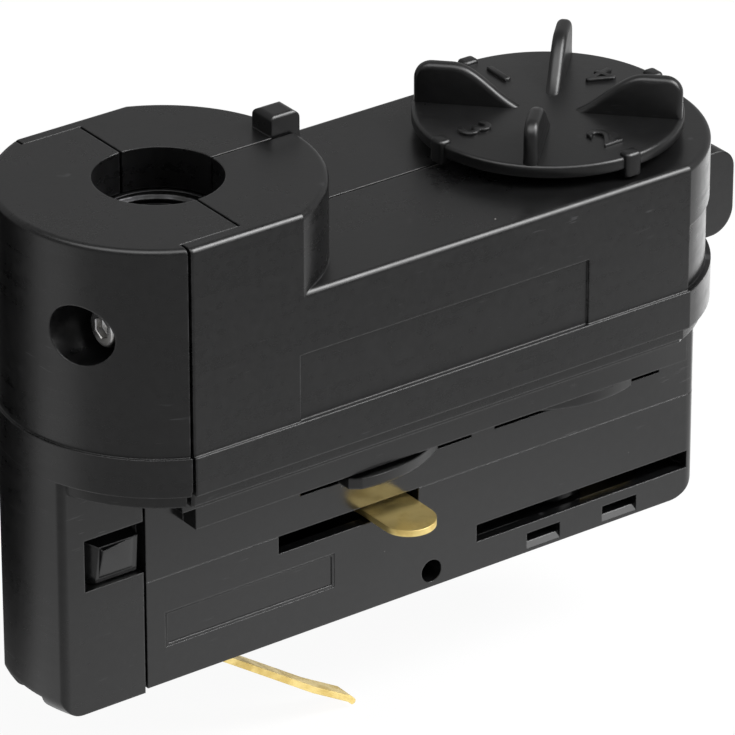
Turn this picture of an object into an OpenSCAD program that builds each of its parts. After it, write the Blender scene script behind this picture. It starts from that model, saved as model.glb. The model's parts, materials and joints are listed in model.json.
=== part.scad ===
// Track light adapter: housing, track insert, phase selector, locking train and earth leaf.
// Frame: origin on the stem bore axis at the boss top, X to the dial end, Y to the rear, Z up. Sizes in mm.

/* [Housing] */
// Radius of the round ends of the upper housing
body_r = 16.5; // [14:0.1:20]
// Half width across the flats of the upper housing
body_flat = 15.2; // [13:0.1:18]
// Distance from the stem bore axis to the dial axis
axis_dist = 47.5; // [44:0.5:56]
// Depth of the dial deck below the boss top
deck_depth = 8.4; // [7.6:0.1:10]
// Depth of the step where the lower band begins
step_depth = 22.25; // [22:0.05:22.8]
// How far the lower band stands proud of the upper housing
band_proud = 0.3; // [0.1:0.05:0.6]
// Depth of the lower band's bottom edge
band_depth = 26.4; // [26.1:0.1:27]
// Depth of the housing's underside lip
lip_depth = 27.9; // [27.6:0.1:28.4]
// How far the lip is set in from the upper housing
lip_inset = 0.5; // [0.2:0.1:1]
// Housing wall thickness
wall = 1.9; // [1.5:0.1:2.2]
// Radius of the rounded top edges
edge_round = 0.6; // [0.3:0.05:0.9]
// Y of the parting plane between the shells
seam_y = 0.3; // [0:0.1:0.6]
// Gap at every parting line
seam_gap = 0.3; // [0.1:0.05:0.35]
// Gap beside the cap's tongue
tongue_fit = 0.05; // [0.02:0.01:0.2]
// X of the outer cap seam, to the left of the bore axis
cap_seam = 6.75; // [6:0.05:7.5]
// Half width of the cap's tongue between the shell walls
cap_tongue = 13.6; // [13.4:0.1:13.8]
// Depth of the label panel
panel_sink = 0.25; // [0.1:0.05:0.5]
// Depth of the recessed band on the round end
end_sink = 0.3; // [0.1:0.05:0.6]

/* [Stem] */
// Radius of the stem bore
bore_r = 6.5; // [5:0.1:7]
// Length of the stem bore
bore_len = 4.4; // [4:0.1:4.6]
// Nut width across its flats
nut_flats = 17; // [16:0.1:18]
// Nut thickness
nut_thick = 3; // [2.5:0.1:3.2]
// Radius of the wire passage below the nut
wire_r = 5.2; // [4:0.1:5.4]
// Anti-turn peg height above the boss
peg_high = 2.2; // [1.4:0.1:3]

/* [Cap screws] */
// Distance of each cap screw from the centre plane
screw_y = 7.6; // [7.4:0.1:8]
// Depth of the cap screws below the boss top
screw_depth = 9.8; // [9.6:0.1:10.2]
// Radius of the screw head
screw_head_r = 2; // [1.6:0.1:2.4]
// Radius of the screw shank
screw_r = 1.2; // [0.9:0.05:1.3]
// Radius of the counterbore in the cap
screw_sink_r = 3.15; // [2.8:0.05:3.2]

/* [Insert] */
// Half the thickness of the insert
insert_half = 5.6; // [5.5:0.1:6]
// Radius of the insert's round ends
insert_r = 16.5; // [16.2:0.1:16.8]
// Fillet between the insert's faces and its round ends
end_fillet = 1.6; // [1:0.1:2.4]
// Fillet between the end cap's flat faces and its round end
cap_fillet = 0.9; // [0.5:0.1:2]
// Insert wall thickness
insert_wall = 1.2; // [1:0.05:1.25]
// How far the skirt stands out from the insert faces
skirt_out = 2.2; // [1.8:0.1:2.4]
// Depth of the skirt's bottom edge
skirt_depth = 35.1; // [34:0.05:37]
// Height of the insert core below the skirt
core_high = 5.5; // [5.4:0.05:6]
// Height of the insert cover
cover_high = 12; // [11.5:0.1:13]
// Gap between the insert core and its cover
split_fit = 0.03; // [0.02:0.01:0.1]
// Radius of the insert's lower end corner
corner_r = 2.8; // [2:0.1:3]
// Radius of the end cap's lower corner
cap_corner_r = 2; // [1.2:0.1:2.4]
// Height of each contact slot
slot_high = 2; // [1.9:0.05:2.1]
// Width of the earth groove
groove_wide = 5; // [4:0.1:5.4]
// Depth of the earth groove
groove_deep = 1.2; // [1.1:0.05:1.25]

/* [Dial] */
// Radius of the dial disc
dial_r = 13.8; // [12:0.1:14.4]
// Thickness of the dial disc
dial_thick = 1.4; // [1.2:0.05:1.8]
// Gap between the dial disc and the deck
dial_gap = 1.1; // [0.9:0.05:1.4]
// Height of the grip fins
fin_high = 4.3; // [3:0.1:5]
// Thickness of the grip fins
fin_thick = 1.5; // [1:0.1:2]
// Radius of the dial shaft
shaft_r = 2.5; // [2.3:0.05:2.6]

/* [Locking train] */
// X of the neutral spindle axis
neutral_x = 23.3; // [23:0.1:23.6]
// Radius of the neutral spindle
spindle_r = 2.4; // [2.2:0.05:2.6]
// Outer radius of the lever's hub tube
tube_r = 3.9; // [3.7:0.05:4]
// Crank radius of both crank pins
crank_r = 7; // [6.8:0.05:7.2]
// Radius of the crank pins
pin_r = 1; // [0.8:0.05:1.1]
// Play of each crank pin in its fork
fork_play = 0.6; // [0.55:0.05:0.7]
// Thickness of the cam plates
cam_thick = 1.2; // [1:0.05:1.3]
// Half the width of the cam plates
cam_half = 6.2; // [5.5:0.1:6.6]
// Swing radius of the cam corners
cam_tip_r = 9.85; // [9.4:0.05:10]
// Reach of the lever tab from the dial axis
tab_reach = 23.5; // [22:0.1:25]
// Height of the lever tab
tab_high = 9.5; // [8:0.1:10]
// Thickness of the lever tab
tab_thick = 2.4; // [1.8:0.1:2.6]
// Running clearance of shafts in their bearings
run_fit = 0.06; // [0.02:0.01:0.1]
// Clearance of pieces fixed on their shafts
set_fit = 0.02; // [0.01:0.01:0.05]

/* [Contacts] */
// Thickness of the brass contact blades
blade_thick = 0.7; // [0.5:0.05:0.8]
// Width of the brass contact blades
blade_wide = 5.7; // [5:0.1:5.8]
// Reach of the blades from their axes
blade_reach = 11.35; // [10.8:0.05:11.6]
// Width of the earth leaf
leaf_wide = 2.5; // [2:0.1:3]
// Thickness of the earth leaf
leaf_thick = 0.7; // [0.5:0.05:0.8]
// Slope of the earth leaf at rest
leaf_slope = 34; // [28:1:36]
// Length of the earth leaf to its bend, along its slope
leaf_long = 19.4; // [15:0.1:20]
// Length of the flatter stretch of the earth leaf
leaf_end = 5.2; // [4:0.1:8]
// Slope of the flatter stretch of the earth leaf
leaf_end_slope = 30; // [24:1:34]
// Length of the earth leaf's turned-down tip
leaf_tip = 0.5; // [0.3:0.1:2]
// Slope of the earth leaf's turned-down tip
leaf_tip_slope = 48; // [36:1:60]
// Terminal block height
terminal_high = 7; // [6:0.1:8]
// Distance between neighbouring terminal blocks
terminal_pitch = 7; // [6:0.1:7.4]

/* [Hidden] */
$fn = 96;
far = 90;
deck_z = -deck_depth;
step_z = -step_depth;
band_z = -band_depth;
lip_z = -lip_depth;
cavity_r = body_r - wall;
cavity_flat = body_flat - wall;
roof_z = deck_z - 1.8;
web_z = roof_z - 4;
web_x = 9;
cap_inner = cap_tongue - 1.4;
cap_end_r = body_r + band_proud - 0.04;
cap_groove_r = body_r - lip_inset - 0.9;
pocket_low = -bore_len - nut_thick - 0.4;
nut_r = nut_flats / 2 / cos(30);
flange_top = lip_z + 2;
core_roof = lip_z - 2;
split_z = -skirt_depth - core_high;
insert_z = split_z - cover_high;
floor_z = insert_z + 2.8;
slot_low_z = insert_z + 3.3;
core_left = -6;
cam_top = -skirt_depth - 0.3;
cam_low = cam_top - cam_thick;
tube_low = cam_low - 2.4;
window_low = cam_low - 0.3;
tongue_low = split_z - slot_high + 0.3;
tongue_top = tongue_low + blade_thick;
cam_room = cam_tip_r + 0.8;
latch_low = split_z + 1.3;
latch_top = split_z + 7;
lug_root = insert_half - 1.6;
lug_out = 1.25;
lug_left = -12.5;
lug_right = -6.7;
blade_low = slot_low_z + slot_high / 2 - blade_thick / 2;
blade_top = blade_low + blade_thick;
dial_low = deck_z + dial_gap;
dial_top = dial_low + dial_thick;
slot_top = -15.4;
slot_end = -21.9;
neck_top = slot_top - 1;
neck_low = slot_end + 0.5;
tab_root = 17.3;
crank_top = slot_end - 0.3;
crank_low = crank_top - 1.4;
slider_low = flange_top + 0.3;
slider_top = slider_low + 1.2;
crank_45 = crank_r * sin(45);
groove_z = insert_z + groove_deep;
leaf_x = 1.3;
rivet_x = -2;
leaf_z = groove_z - leaf_thick / 2 - 0.3;
terminal_x = -5.4;
drum_r = insert_half - insert_wall - 0.4;
drum_low = slot_low_z + 0.3;
eye_r = 3.9;
phase_eye_r = 3.2;

// A box between two opposite corners
module box(a, b) {
    translate(a) cube(b - a);
}

// An upright cylinder between two heights
module post(r, low, high) {
    translate([0, 0, low]) cylinder(r = r, h = high - low);
}

// Plan of the housing: two round ends cut by the side flats
module plan(r, f) {
    intersection() {
        union() {
            circle(r);
            translate([axis_dist, 0]) circle(r);
            translate([0, -f]) square([axis_dist, 2 * f]);
        }
        translate([-r - 1, -f]) square([axis_dist + 2 * r + 2, 2 * f]);
    }
}

// A layer of the housing plan between two heights
module layer(r, f, low, high) {
    translate([0, 0, low]) linear_extrude(high - low) plan(r, f);
}

// Plan of a round end about the origin, towards +X: faces at half width h run into radius r by a fillet f
module round_end(r, h, f) {
    fillet_x = sqrt(pow(r - f, 2) - pow(h - f, 2));
    meet_y = (h - f) * r / (r - f);
    translate([-30, -h]) square([30 + fillet_x, 2 * h]);
    intersection() {
        circle(r);
        translate([0, -meet_y]) square([r + 1, 2 * meet_y]);
    }
    for (s = [-1, 1]) {
        translate([fillet_x, s * (h - f)]) circle(f);
    }
}

// Plan of the insert, set in by d, with its round end at the dial
module insert_plan(d) {
    translate([axis_dist, 0]) round_end(insert_r - d, insert_half - d, end_fillet);
    translate([-20, d - insert_half]) square([20 + axis_dist, 2 * (insert_half - d)]);
}

// Cutter for the lower corner of a round end of radius r: a quarter round of radius c at height z
module corner_cut(r, c, z) {
    rotate_extrude() difference() {
        translate([r - c, z - 1]) square([c + 2, c + 1]);
        translate([r - c, z + c]) circle(c);
    }
}

// Section of the cutter for a rounded top edge whose corner is at [u, z]; side is 1 or -1
module edge_section(u, z, side) {
    centre = u - side * edge_round;
    difference() {
        translate([side > 0 ? centre : u - 1, z - edge_round]) square(edge_round + 1);
        translate([centre, z - edge_round]) circle(edge_round);
    }
}

// Cutter that rounds a circular top edge
module round_edge(r, z) {
    rotate_extrude() edge_section(r, z, 1);
}

// Cutter that rounds a straight top edge along X
module flat_edge(y, z, x0, x1) {
    translate([x0, 0, 0]) rotate([90, 0, 90]) linear_extrude(x1 - x0) edge_section(y, z, y < 0 ? -1 : 1);
}

// Hollow inside the housing: a thick web under the boss, a thin roof under the deck
module cavity() {
    intersection() {
        layer(cavity_r, cavity_flat, lip_z - 1, roof_z);
        box([web_x, -30, -far], [far, 30, 0]);
    }
    intersection() {
        layer(cavity_r, cavity_flat, lip_z - 1, web_z);
        box([0, -30, -far], [web_x + 0.01, 30, 0]);
    }
    intersection() {
        layer(cavity_r, cap_inner, lip_z - 1, web_z);
        box([-30, -30, -far], [0.01, 30, 0]);
    }
}

// Opening in the end wall through which the lever neck swings
module lever_slot() {
    translate([axis_dist, 0, slot_end]) linear_extrude(slot_top - slot_end)
        polygon([[0, 0], [30 * cos(-9), 30 * sin(-9)], [42, 0], [42, 42],
                 [0, 42], [30 * cos(99), 30 * sin(99)]]);
}

// The whole upper housing before it is parted
module housing() {
    difference() {
        union() {
            intersection() {
                post(body_r, deck_z - 1, 0);
                box([-30, -body_flat, -30], [30, body_flat, 1]);
            }
            layer(body_r, body_flat, step_z, deck_z);
            layer(body_r + band_proud, body_flat + band_proud, band_z, step_z);
            layer(body_r - lip_inset, body_flat - lip_inset, lip_z, band_z);
        }
        round_edge(body_r, 0);
        flat_edge(-body_flat, 0, -30, 30);
        flat_edge(body_flat, 0, -30, 30);
        intersection() {
            translate([axis_dist, 0, 0]) round_edge(body_r, deck_z);
            box([axis_dist, -30, -far], [far, 30, 1]);
        }
        difference() {
            union() {
                flat_edge(-body_flat, deck_z, 0, far);
                flat_edge(body_flat, deck_z, 0, far);
            }
            post(body_r + 0.01, deck_z - 3, 1);
        }
        post(bore_r, -bore_len - 1, 1);
        translate([0, 0, pocket_low]) rotate(30)
            cylinder(r = nut_r + 0.15, h = -bore_len - pocket_low, $fn = 6);
        post(wire_r, web_z - 1, pocket_low + 1);
        translate([axis_dist, 0, 0]) post(shaft_r + run_fit, -30, 1);
        for (s = [-1, 1]) {
            translate([-30, s * screw_y, -screw_depth]) rotate([0, 90, 0]) {
                cylinder(r = screw_r + 0.05, h = 36.5);
                cylinder(r = screw_sink_r, h = 20);
            }
        }
        cavity();
        lever_slot();
        difference() {
            box([axis_dist + 6.42, -30, step_z], [far, 30, -15.1]);
            translate([axis_dist, 0, 0]) post(body_r - end_sink, -40, 0);
        }
        box([5.95, -30, step_z], [41.2, panel_sink - body_flat, -15.05]);
    }
}

// Space taken by the end cap, grown by g at its ends and by side beside its tongue
module cap_zone(g, side) {
    box([-40, -cap_tongue - side, -far], [g, cap_tongue + side, 5]);
    box([-40, -30, -far], [g - cap_seam, 30, 5]);
}

module front_shell() {
    color([0.05, 0.05, 0.055]) difference() {
        intersection() {
            housing();
            box([-40, -30, -far], [far, seam_y - seam_gap / 2, 5]);
        }
        cap_zone(seam_gap / 2, tongue_fit / 2);
    }
}

// Section of the anti-turn peg from u0 to u1, its top corners rounded by r0 and r1
module peg_section(u0, u1, r0, r1) {
    low = -1;
    half = (u1 - u0) / 2;
    translate([u0, low]) square([half, peg_high - r0 - low]);
    translate([u0 + half, low]) square([half, peg_high - r1 - low]);
    translate([u0 + r0, low]) square([u1 - u0 - r0 - r1, peg_high - low]);
    translate([u0 + r0, peg_high - r0]) circle(r0);
    translate([u1 - r1, peg_high - r1]) circle(r1);
}

// Anti-turn peg: its right end overhangs the boss
module peg() {
    peg_left = 13.7;
    peg_right = 17.1;
    peg_front = seam_y + seam_gap / 2;
    peg_back = seam_y + 3.4;
    intersection() {
        translate([0, peg_back, 0]) rotate([90, 0, 0]) linear_extrude(peg_back - peg_front)
            peg_section(peg_left, peg_right, 0.6, 0.9);
        translate([peg_left, 0, 0]) rotate([90, 0, 90]) linear_extrude(peg_right - peg_left)
            peg_section(peg_front, peg_back, 0.4, 0.9);
    }
}

module rear_shell() {
    color([0.05, 0.05, 0.055]) {
        difference() {
            intersection() {
                housing();
                box([-40, seam_y + seam_gap / 2, -far], [far, 30, 5]);
            }
            cap_zone(seam_gap / 2, tongue_fit / 2);
        }
        peg();
    }
}

// Lug that catches in the cap window: a wedge with a hipped outer end; s picks the front or rear side
module latch_lug(s) {
    y = s * (lug_root - 0.01);
    tip = s * (lug_root + lug_out);
    intersection() {
        translate([lug_left - 1, 0, 0]) rotate([90, 0, 90]) linear_extrude(lug_right - lug_left + 2)
            polygon([[y, latch_top - 0.9], [tip, latch_top - 1.5],
                     [tip - s * 0.3, latch_low + 0.15], [y, latch_low + 0.1]]);
        translate([0, 0, latch_low - 1]) linear_extrude(latch_top - latch_low + 2)
            polygon([[lug_left, y], [lug_left + lug_out, tip], [lug_right, tip], [lug_right, y]]);
    }
}

// Groove under the cap's band, beside the flat faces of the cap's tail
module cap_groove() {
    difference() {
        for (s = [-1, 1]) {
            y0 = s * (insert_half + 0.2);
            y1 = s * 30;
            box([-30, min(y0, y1), band_z - 0.25], [0, max(y0, y1), band_z]);
        }
        post(cap_groove_r, -far, 0);
    }
}

module end_cap() {
    low = insert_z - 0.4;
    color([0.05, 0.05, 0.055]) difference() {
        union() {
            intersection() {
                housing();
                difference() {
                    cap_zone(-seam_gap / 2, -tongue_fit / 2);
                    box([-7, -30, -far], [1, 30, flange_top]);
                }
            }
            intersection() {
                layer(cavity_r + 0.5, cap_inner + 0.5, lip_z, flange_top);
                box([-40, -30, -far], [core_left - seam_gap, 30, 0]);
            }
            intersection() {
                translate([0, 0, low]) linear_extrude(flange_top - low) mirror([1, 0])
                    round_end(cap_end_r, insert_half, cap_fillet);
                box([-40, -30, -far], [core_left - seam_gap, 30, 0]);
            }
        }
        translate([0, 0, insert_z + 1.9]) linear_extrude(core_roof - insert_z - 1.9) intersection() {
            circle(insert_r - 1.5);
            translate([-30, 1.5 - insert_half]) square([60, 2 * insert_half - 3]);
        }
        intersection() {
            corner_cut(cap_end_r, cap_corner_r, low);
            box([-40, -30, -far], [-5, 30, 0]);
        }
        box([-13.2, -20, latch_low], [0, -lug_root, latch_top]);
        box([-13.2, lug_root, latch_low], [0, 20, latch_top]);
        box([-40, -groove_wide / 2, -far], [0, groove_wide / 2, groove_z]);
        cap_groove();
    }
}

// A cap screw with a hex socket in its head
module cap_screw(y) {
    translate([-12, y, -screw_depth]) rotate([0, 90, 0]) difference() {
        union() {
            cylinder(r = screw_head_r, h = 2);
            cylinder(r = screw_r, h = 17.6);
        }
        translate([0, 0, -1]) cylinder(r = 1.05, h = 2, $fn = 6);
    }
}

module cap_screw_front() {
    color([0.75, 0.75, 0.78]) cap_screw(-screw_y);
}

module cap_screw_rear() {
    color([0.75, 0.75, 0.78]) cap_screw(screw_y);
}

module stem_nut() {
    color([0.2, 0.2, 0.21]) translate([0, 0, -bore_len - 0.2 - nut_thick]) difference() {
        rotate(30) cylinder(r = nut_r, h = nut_thick, $fn = 6);
        translate([0, 0, -1]) cylinder(r = bore_r - 0.3, h = nut_thick + 2);
    }
}

module insert_core() {
    skirt_y = insert_half + skirt_out;
    color([0.05, 0.05, 0.055]) {
        difference() {
            union() {
                intersection() {
                    layer(cavity_r - 0.1, cap_inner - 0.1, core_roof, flange_top);
                    box([core_left, -30, -far], [far, 30, 0]);
                }
                intersection() {
                    layer(cavity_r - 0.1, cavity_flat - 0.1, lip_z, flange_top);
                    box([seam_gap, -30, -far], [far, 30, 0]);
                }
                intersection() {
                    translate([0, 0, split_z]) linear_extrude(lip_z - seam_gap - split_z) insert_plan(0);
                    box([core_left, -30, -far], [far, 30, 0]);
                }
                box([-1.5, -skirt_y, -skirt_depth], [60, skirt_y, core_roof]);
                box([12, -11.1, flange_top - 0.5], [40, -9.8, flange_top + 1.3]);
                box([30, 9.8, flange_top - 0.5], [56, 11.1, flange_top + 1.3]);
            }
            intersection() {
                translate([0, 0, split_z - 1]) linear_extrude(core_roof - split_z + 1)
                    insert_plan(insert_wall);
                box([core_left + 1.4, -30, -far], [far, 30, 0]);
            }
            translate([neutral_x, 0, 0]) post(spindle_r + run_fit, -far, 0);
            translate([axis_dist, 0, 0]) post(tube_r + run_fit, -far, 0);
            for (x = [neutral_x, axis_dist]) {
                box([x - cam_room, -20, window_low], [x + cam_room, 20, -skirt_depth]);
            }
        }
        for (s = [-1, 1]) {
            y = s * lug_root;
            inner = y - s * 1.2;
            intersection() {
                box([-12.6, min(y, inner), latch_low + 0.1],
                    [core_left + 1.6, max(y, inner), latch_top - 0.1]);
                post(insert_r - 1.7, -far, 0);
            }
            latch_lug(s);
        }
    }
}

// Pocket for a snap catch: a deep recess with a short ramp below its mouth
module snap_pocket(x0, x1) {
    translate([x0, 0, 0]) rotate([90, 0, 90]) linear_extrude(x1 - x0)
        polygon([[-insert_half - 1, insert_z + 2.2], [2.2 - insert_half, insert_z + 2.2],
                 [2.2 - insert_half, insert_z + 1], [0.4 - insert_half, insert_z + 1],
                 [-insert_half, insert_z + 0.35], [-insert_half - 1, insert_z + 0.35]]);
}

module insert_cover() {
    color([0.05, 0.05, 0.055]) difference() {
        intersection() {
            translate([0, 0, insert_z]) linear_extrude(split_z - split_fit - insert_z) insert_plan(0);
            box([core_left, -30, -far], [far, 30, 0]);
        }
        intersection() {
            translate([0, 0, floor_z]) linear_extrude(split_z - floor_z) insert_plan(insert_wall);
            box([core_left + 1.4, -30, -far], [far, 30, 0]);
        }
        intersection() {
            translate([axis_dist, 0, 0]) corner_cut(insert_r, corner_r, insert_z);
            box([axis_dist + 5, -30, -far], [far, 30, 0]);
        }
        box([9.95, -20, split_z - slot_high], [27.3, 0, split_z + 1]);
        box([34.7, -20, slot_low_z], [axis_dist + 14.6, 0, slot_low_z + slot_high]);
        box([34.7, 0, slot_low_z], [axis_dist + 12.5, 20, slot_low_z + slot_high]);
        translate([28.98, 0, insert_z + 1.85]) rotate([90, 0, 0]) cylinder(r = 1.25, h = 20);
        snap_pocket(41.2, 45.5);
        snap_pocket(51, 55.5);
        box([-3.8, -20, split_z - 8], [16.8, 0.15 - insert_half, split_z - 4.1]);
        translate([neutral_x, 0, 0]) post(2 + run_fit, floor_z - 1.15, floor_z + 1);
        translate([axis_dist, 0, 0]) post(2 + run_fit, floor_z - 1.15, floor_z + 1);
        translate([rivet_x, 0, 0]) post(1 + set_fit, -far, floor_z + 1);
        box([-40, -groove_wide / 2, -far], [31, groove_wide / 2, groove_z]);
    }
}

// Side profile of a grip fin: full height at the rim, an S curve down to the middle
module fin_profile() {
    n = 14;
    polygon(concat([[3, -0.2], [dial_r - 0.15, -0.2], [dial_r - 0.15, fin_high - 1.2],
                    [dial_r - 0.45, fin_high - 0.4], [dial_r - 1.1, fin_high]],
                   [for (i = [0 : n]) let (t = i / n)
                       [8.9 - 5.9 * t, fin_high * (1 + cos(180 * t)) / 2]]));
}

module selector_dial() {
    color([0.05, 0.05, 0.055]) translate([axis_dist, 0, 0]) difference() {
        union() {
            post(dial_r, dial_low, dial_top);
            for (a = [45 : 90 : 315]) {
                rotate(a) translate([0, fin_thick / 2, dial_top]) rotate([90, 0, 0])
                    linear_extrude(fin_thick) fin_profile();
            }
            for (a = [0 : 90 : 270]) {
                rotate(a) box([dial_r - 1.1, -0.95, deck_z + 0.35], [dial_r + 0.4, 0.95, dial_top + 0.4]);
            }
        }
        post(shaft_r + set_fit, dial_low - 1, dial_low + 0.9);
    }
}

module dial_shaft() {
    color([0.6, 0.6, 0.62]) translate([axis_dist, 0, 0]) {
        post(shaft_r, floor_z + 0.2, dial_low + 0.85);
        post(2, floor_z - 1, floor_z + 0.3);
    }
}

// Drum on the dial shaft, with a slit from the side that takes the phase blade
module phase_rotor() {
    slit = phase_eye_r + set_fit;
    color([0.05, 0.05, 0.055]) translate([axis_dist, 0, 0]) difference() {
        post(drum_r, drum_low, tube_low - 0.6);
        post(shaft_r + set_fit, -far, 0);
        translate([0, 0, blade_low - set_fit]) linear_extrude(blade_thick + 2 * set_fit) {
            circle(slit);
            translate([0, -slit]) square([10, 2 * slit]);
        }
    }
}

// Brass blade with a round tip and an eye of radius eye; x is the offset of its centre line
module blade(x, eye, hole) {
    reach = blade_reach;
    difference() {
        union() {
            circle(eye);
            translate([x - blade_wide / 2, blade_wide / 2 - reach])
                square([blade_wide, reach - blade_wide / 2]);
            translate([x, blade_wide / 2 - reach]) circle(blade_wide / 2);
        }
        circle(hole);
    }
}

module phase_blade() {
    color([0.82, 0.66, 0.3]) translate([axis_dist, 0, blade_low]) rotate(90)
        linear_extrude(blade_thick) blade(0, phase_eye_r, shaft_r + set_fit);
}

module rotor_collar() {
    color([0.05, 0.05, 0.055]) translate([axis_dist, 0, 0]) difference() {
        post(phase_eye_r, floor_z + 0.3, drum_low - set_fit);
        post(shaft_r + set_fit, -far, 0);
    }
}

// Crank arm and pin at angle a
module crank(a, hub_r) {
    rotate(a) {
        translate([0, 0, crank_low]) linear_extrude(crank_top - crank_low) {
            circle(hub_r);
            translate([0, -1.5]) square([crank_r, 3]);
            translate([crank_r, 0]) circle(1.8);
        }
        translate([crank_r, 0, 0]) post(pin_r, slider_low + 0.1, crank_low + 0.3);
    }
}

// Side profile of the lever tab: a plate with its two outer corners rounded
module tab_profile() {
    top_r = 2.2;
    low_r = 2.8;
    low = neck_top - tab_high;
    translate([tab_root, low]) square([tab_reach - low_r - tab_root, tab_high]);
    translate([tab_root, low + low_r]) square([tab_reach - tab_root, tab_high - low_r - top_r]);
    translate([tab_root, low + low_r]) square([tab_reach - top_r - tab_root, tab_high - low_r]);
    translate([tab_reach - top_r, neck_top - top_r]) circle(top_r);
    translate([tab_reach - low_r, low + low_r]) circle(low_r);
}

module locking_lever() {
    color([0.05, 0.05, 0.055]) translate([axis_dist, 0, 0]) difference() {
        union() {
            post(tube_r, tube_low, neck_top);
            post(6, neck_low, neck_top);
            crank(45, tube_r + 0.6);
            box([0, -tab_thick / 2, neck_low], [19, tab_thick / 2, neck_top]);
            translate([0, tab_thick / 2, 0]) rotate([90, 0, 0]) linear_extrude(tab_thick) tab_profile();
        }
        post(shaft_r + run_fit, -far, 0);
    }
}

// Plan of a two-lobed cam: each lobe's edge is an arc of radius r about [x, y], its corner cut by the swing
module cam_plan(x, y, r) {
    for (a = [0, 180]) {
        rotate(a) intersection() {
            translate([x, y]) circle(r);
            translate([-cam_half, -14]) square([2 * cam_half, 14.01]);
            circle(cam_tip_r);
        }
    }
}

module lever_cam() {
    color([0.05, 0.05, 0.055]) translate([axis_dist, 0, 0]) difference() {
        translate([0, 0, cam_low]) linear_extrude(cam_thick) cam_plan(1.8, 5.7, 13.1);
        post(tube_r + set_fit, -far, 0);
    }
}

module link_slider() {
    pin_b = axis_dist + crank_45;
    pin_a = neutral_x + crank_45;
    gap = pin_r + fork_play;
    color([0.8, 0.78, 0.7]) difference() {
        union() {
            box([36.4, 4.9, slider_low], [pin_b + gap + 1.8, 9.4, slider_top]);
            box([pin_a - gap - 1.8, -9.4, slider_low], [42.6, -4.9, slider_top]);
            box([36.4, -9.4, slider_low], [42.6, 9.4, slider_top]);
        }
        box([pin_b - gap, 3, slider_low - 1], [pin_b + gap, crank_r + pin_r + 0.5, slider_top + 1]);
        box([pin_a - gap, -crank_r - pin_r - 0.5, slider_low - 1], [pin_a + gap, -3, slider_top + 1]);
    }
}

module neutral_spindle() {
    color([0.05, 0.05, 0.055]) translate([neutral_x, 0, 0]) {
        post(spindle_r, floor_z + 0.2, crank_low + 0.7);
        post(2, floor_z - 1, floor_z + 0.3);
        crank(-45, spindle_r + 0.8);
    }
}

module neutral_cam() {
    color([0.05, 0.05, 0.055]) translate([neutral_x, 0, 0]) difference() {
        union() {
            translate([0, 0, cam_low]) linear_extrude(cam_thick) cam_plan(-2.35, 5.7, 14.4);
            post(eye_r, tongue_top + set_fit, cam_low + 0.1);
        }
        post(spindle_r + set_fit, -far, 0);
    }
}

module neutral_tongue() {
    color([0.82, 0.66, 0.3]) translate([neutral_x, 0, tongue_low])
        linear_extrude(blade_thick) blade(0.6, eye_r, spindle_r + set_fit);
}

module neutral_collar() {
    color([0.05, 0.05, 0.055]) translate([neutral_x, 0, 0]) difference() {
        post(eye_r, tongue_low - 2.6, tongue_low - set_fit);
        post(spindle_r + set_fit, -far, 0);
    }
}

module earth_strip() {
    color([0.82, 0.66, 0.3]) difference() {
        box([-4.5, -leaf_wide / 2, groove_z - leaf_thick], [leaf_x - 0.6, leaf_wide / 2, groove_z]);
        translate([rivet_x, 0, 0]) post(1 + set_fit, -far, 0);
    }
}

module earth_rivet() {
    color([0.75, 0.75, 0.78]) translate([rivet_x, 0, 0]) {
        post(1, groove_z - leaf_thick - 0.3, floor_z + 0.3);
        post(1.25, groove_z - leaf_thick - 0.4, groove_z - leaf_thick);
        post(1.7, floor_z, floor_z + 0.6);
    }
}

// Side view of the earth leaf: straight runs of [length, slope] from the root on, round at each joint
module leaf_path(runs, i = 0) {
    if (i < len(runs)) {
        rotate(-runs[i][1]) {
            translate([0, -leaf_thick / 2]) square([runs[i][0], leaf_thick]);
            translate([runs[i][0], 0]) circle(d = leaf_thick);
            translate([runs[i][0], 0]) rotate(runs[i][1]) leaf_path(runs, i + 1);
        }
    }
}

module earth_leaf() {
    runs = [[leaf_long, leaf_slope], [leaf_end, leaf_end_slope], [leaf_tip, leaf_tip_slope]];
    color([0.82, 0.66, 0.3]) translate([leaf_x, leaf_wide / 2, leaf_z]) rotate([90, 0, 0])
        linear_extrude(leaf_wide) leaf_path(runs);
}

// A terminal block with a wire bore along X and a screw bore from above
module terminal(y) {
    color([0.82, 0.66, 0.3]) difference() {
        box([terminal_x, y - 2.4, flange_top], [terminal_x + 5, y + 2.4, flange_top + terminal_high]);
        translate([terminal_x - 1, y, flange_top + 2.6]) rotate([0, 90, 0]) cylinder(r = 1.5, h = 8);
        translate([terminal_x + 2.5, y, 0]) post(1.3 + set_fit, flange_top + 2.6, 0);
    }
}

// A slotted clamp screw standing in a terminal block
module clamp_screw(y) {
    high = flange_top + terminal_high;
    color([0.75, 0.75, 0.78]) translate([terminal_x + 2.5, y, 0]) difference() {
        union() {
            post(1.3, flange_top + 3.2, high + 0.3);
            post(2, high, high + 1.3);
        }
        box([-3, -0.3, high + 0.6], [3, 0.3, high + 3]);
    }
}

module phase_terminal() {
    terminal(-terminal_pitch);
}

module neutral_terminal() {
    terminal(0);
}

module earth_terminal() {
    terminal(terminal_pitch);
}

module phase_screw() {
    clamp_screw(-terminal_pitch);
}

module neutral_screw() {
    clamp_screw(0);
}

module earth_screw() {
    clamp_screw(terminal_pitch);
}

front_shell();
rear_shell();
end_cap();
cap_screw_front();
cap_screw_rear();
stem_nut();
insert_core();
insert_cover();
selector_dial();
dial_shaft();
phase_rotor();
phase_blade();
rotor_collar();
locking_lever();
lever_cam();
link_slider();
neutral_spindle();
neutral_cam();
neutral_tongue();
neutral_collar();
earth_strip();
earth_rivet();
earth_leaf();
phase_terminal();
neutral_terminal();
earth_terminal();
phase_screw();
neutral_screw();
earth_screw();
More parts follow.
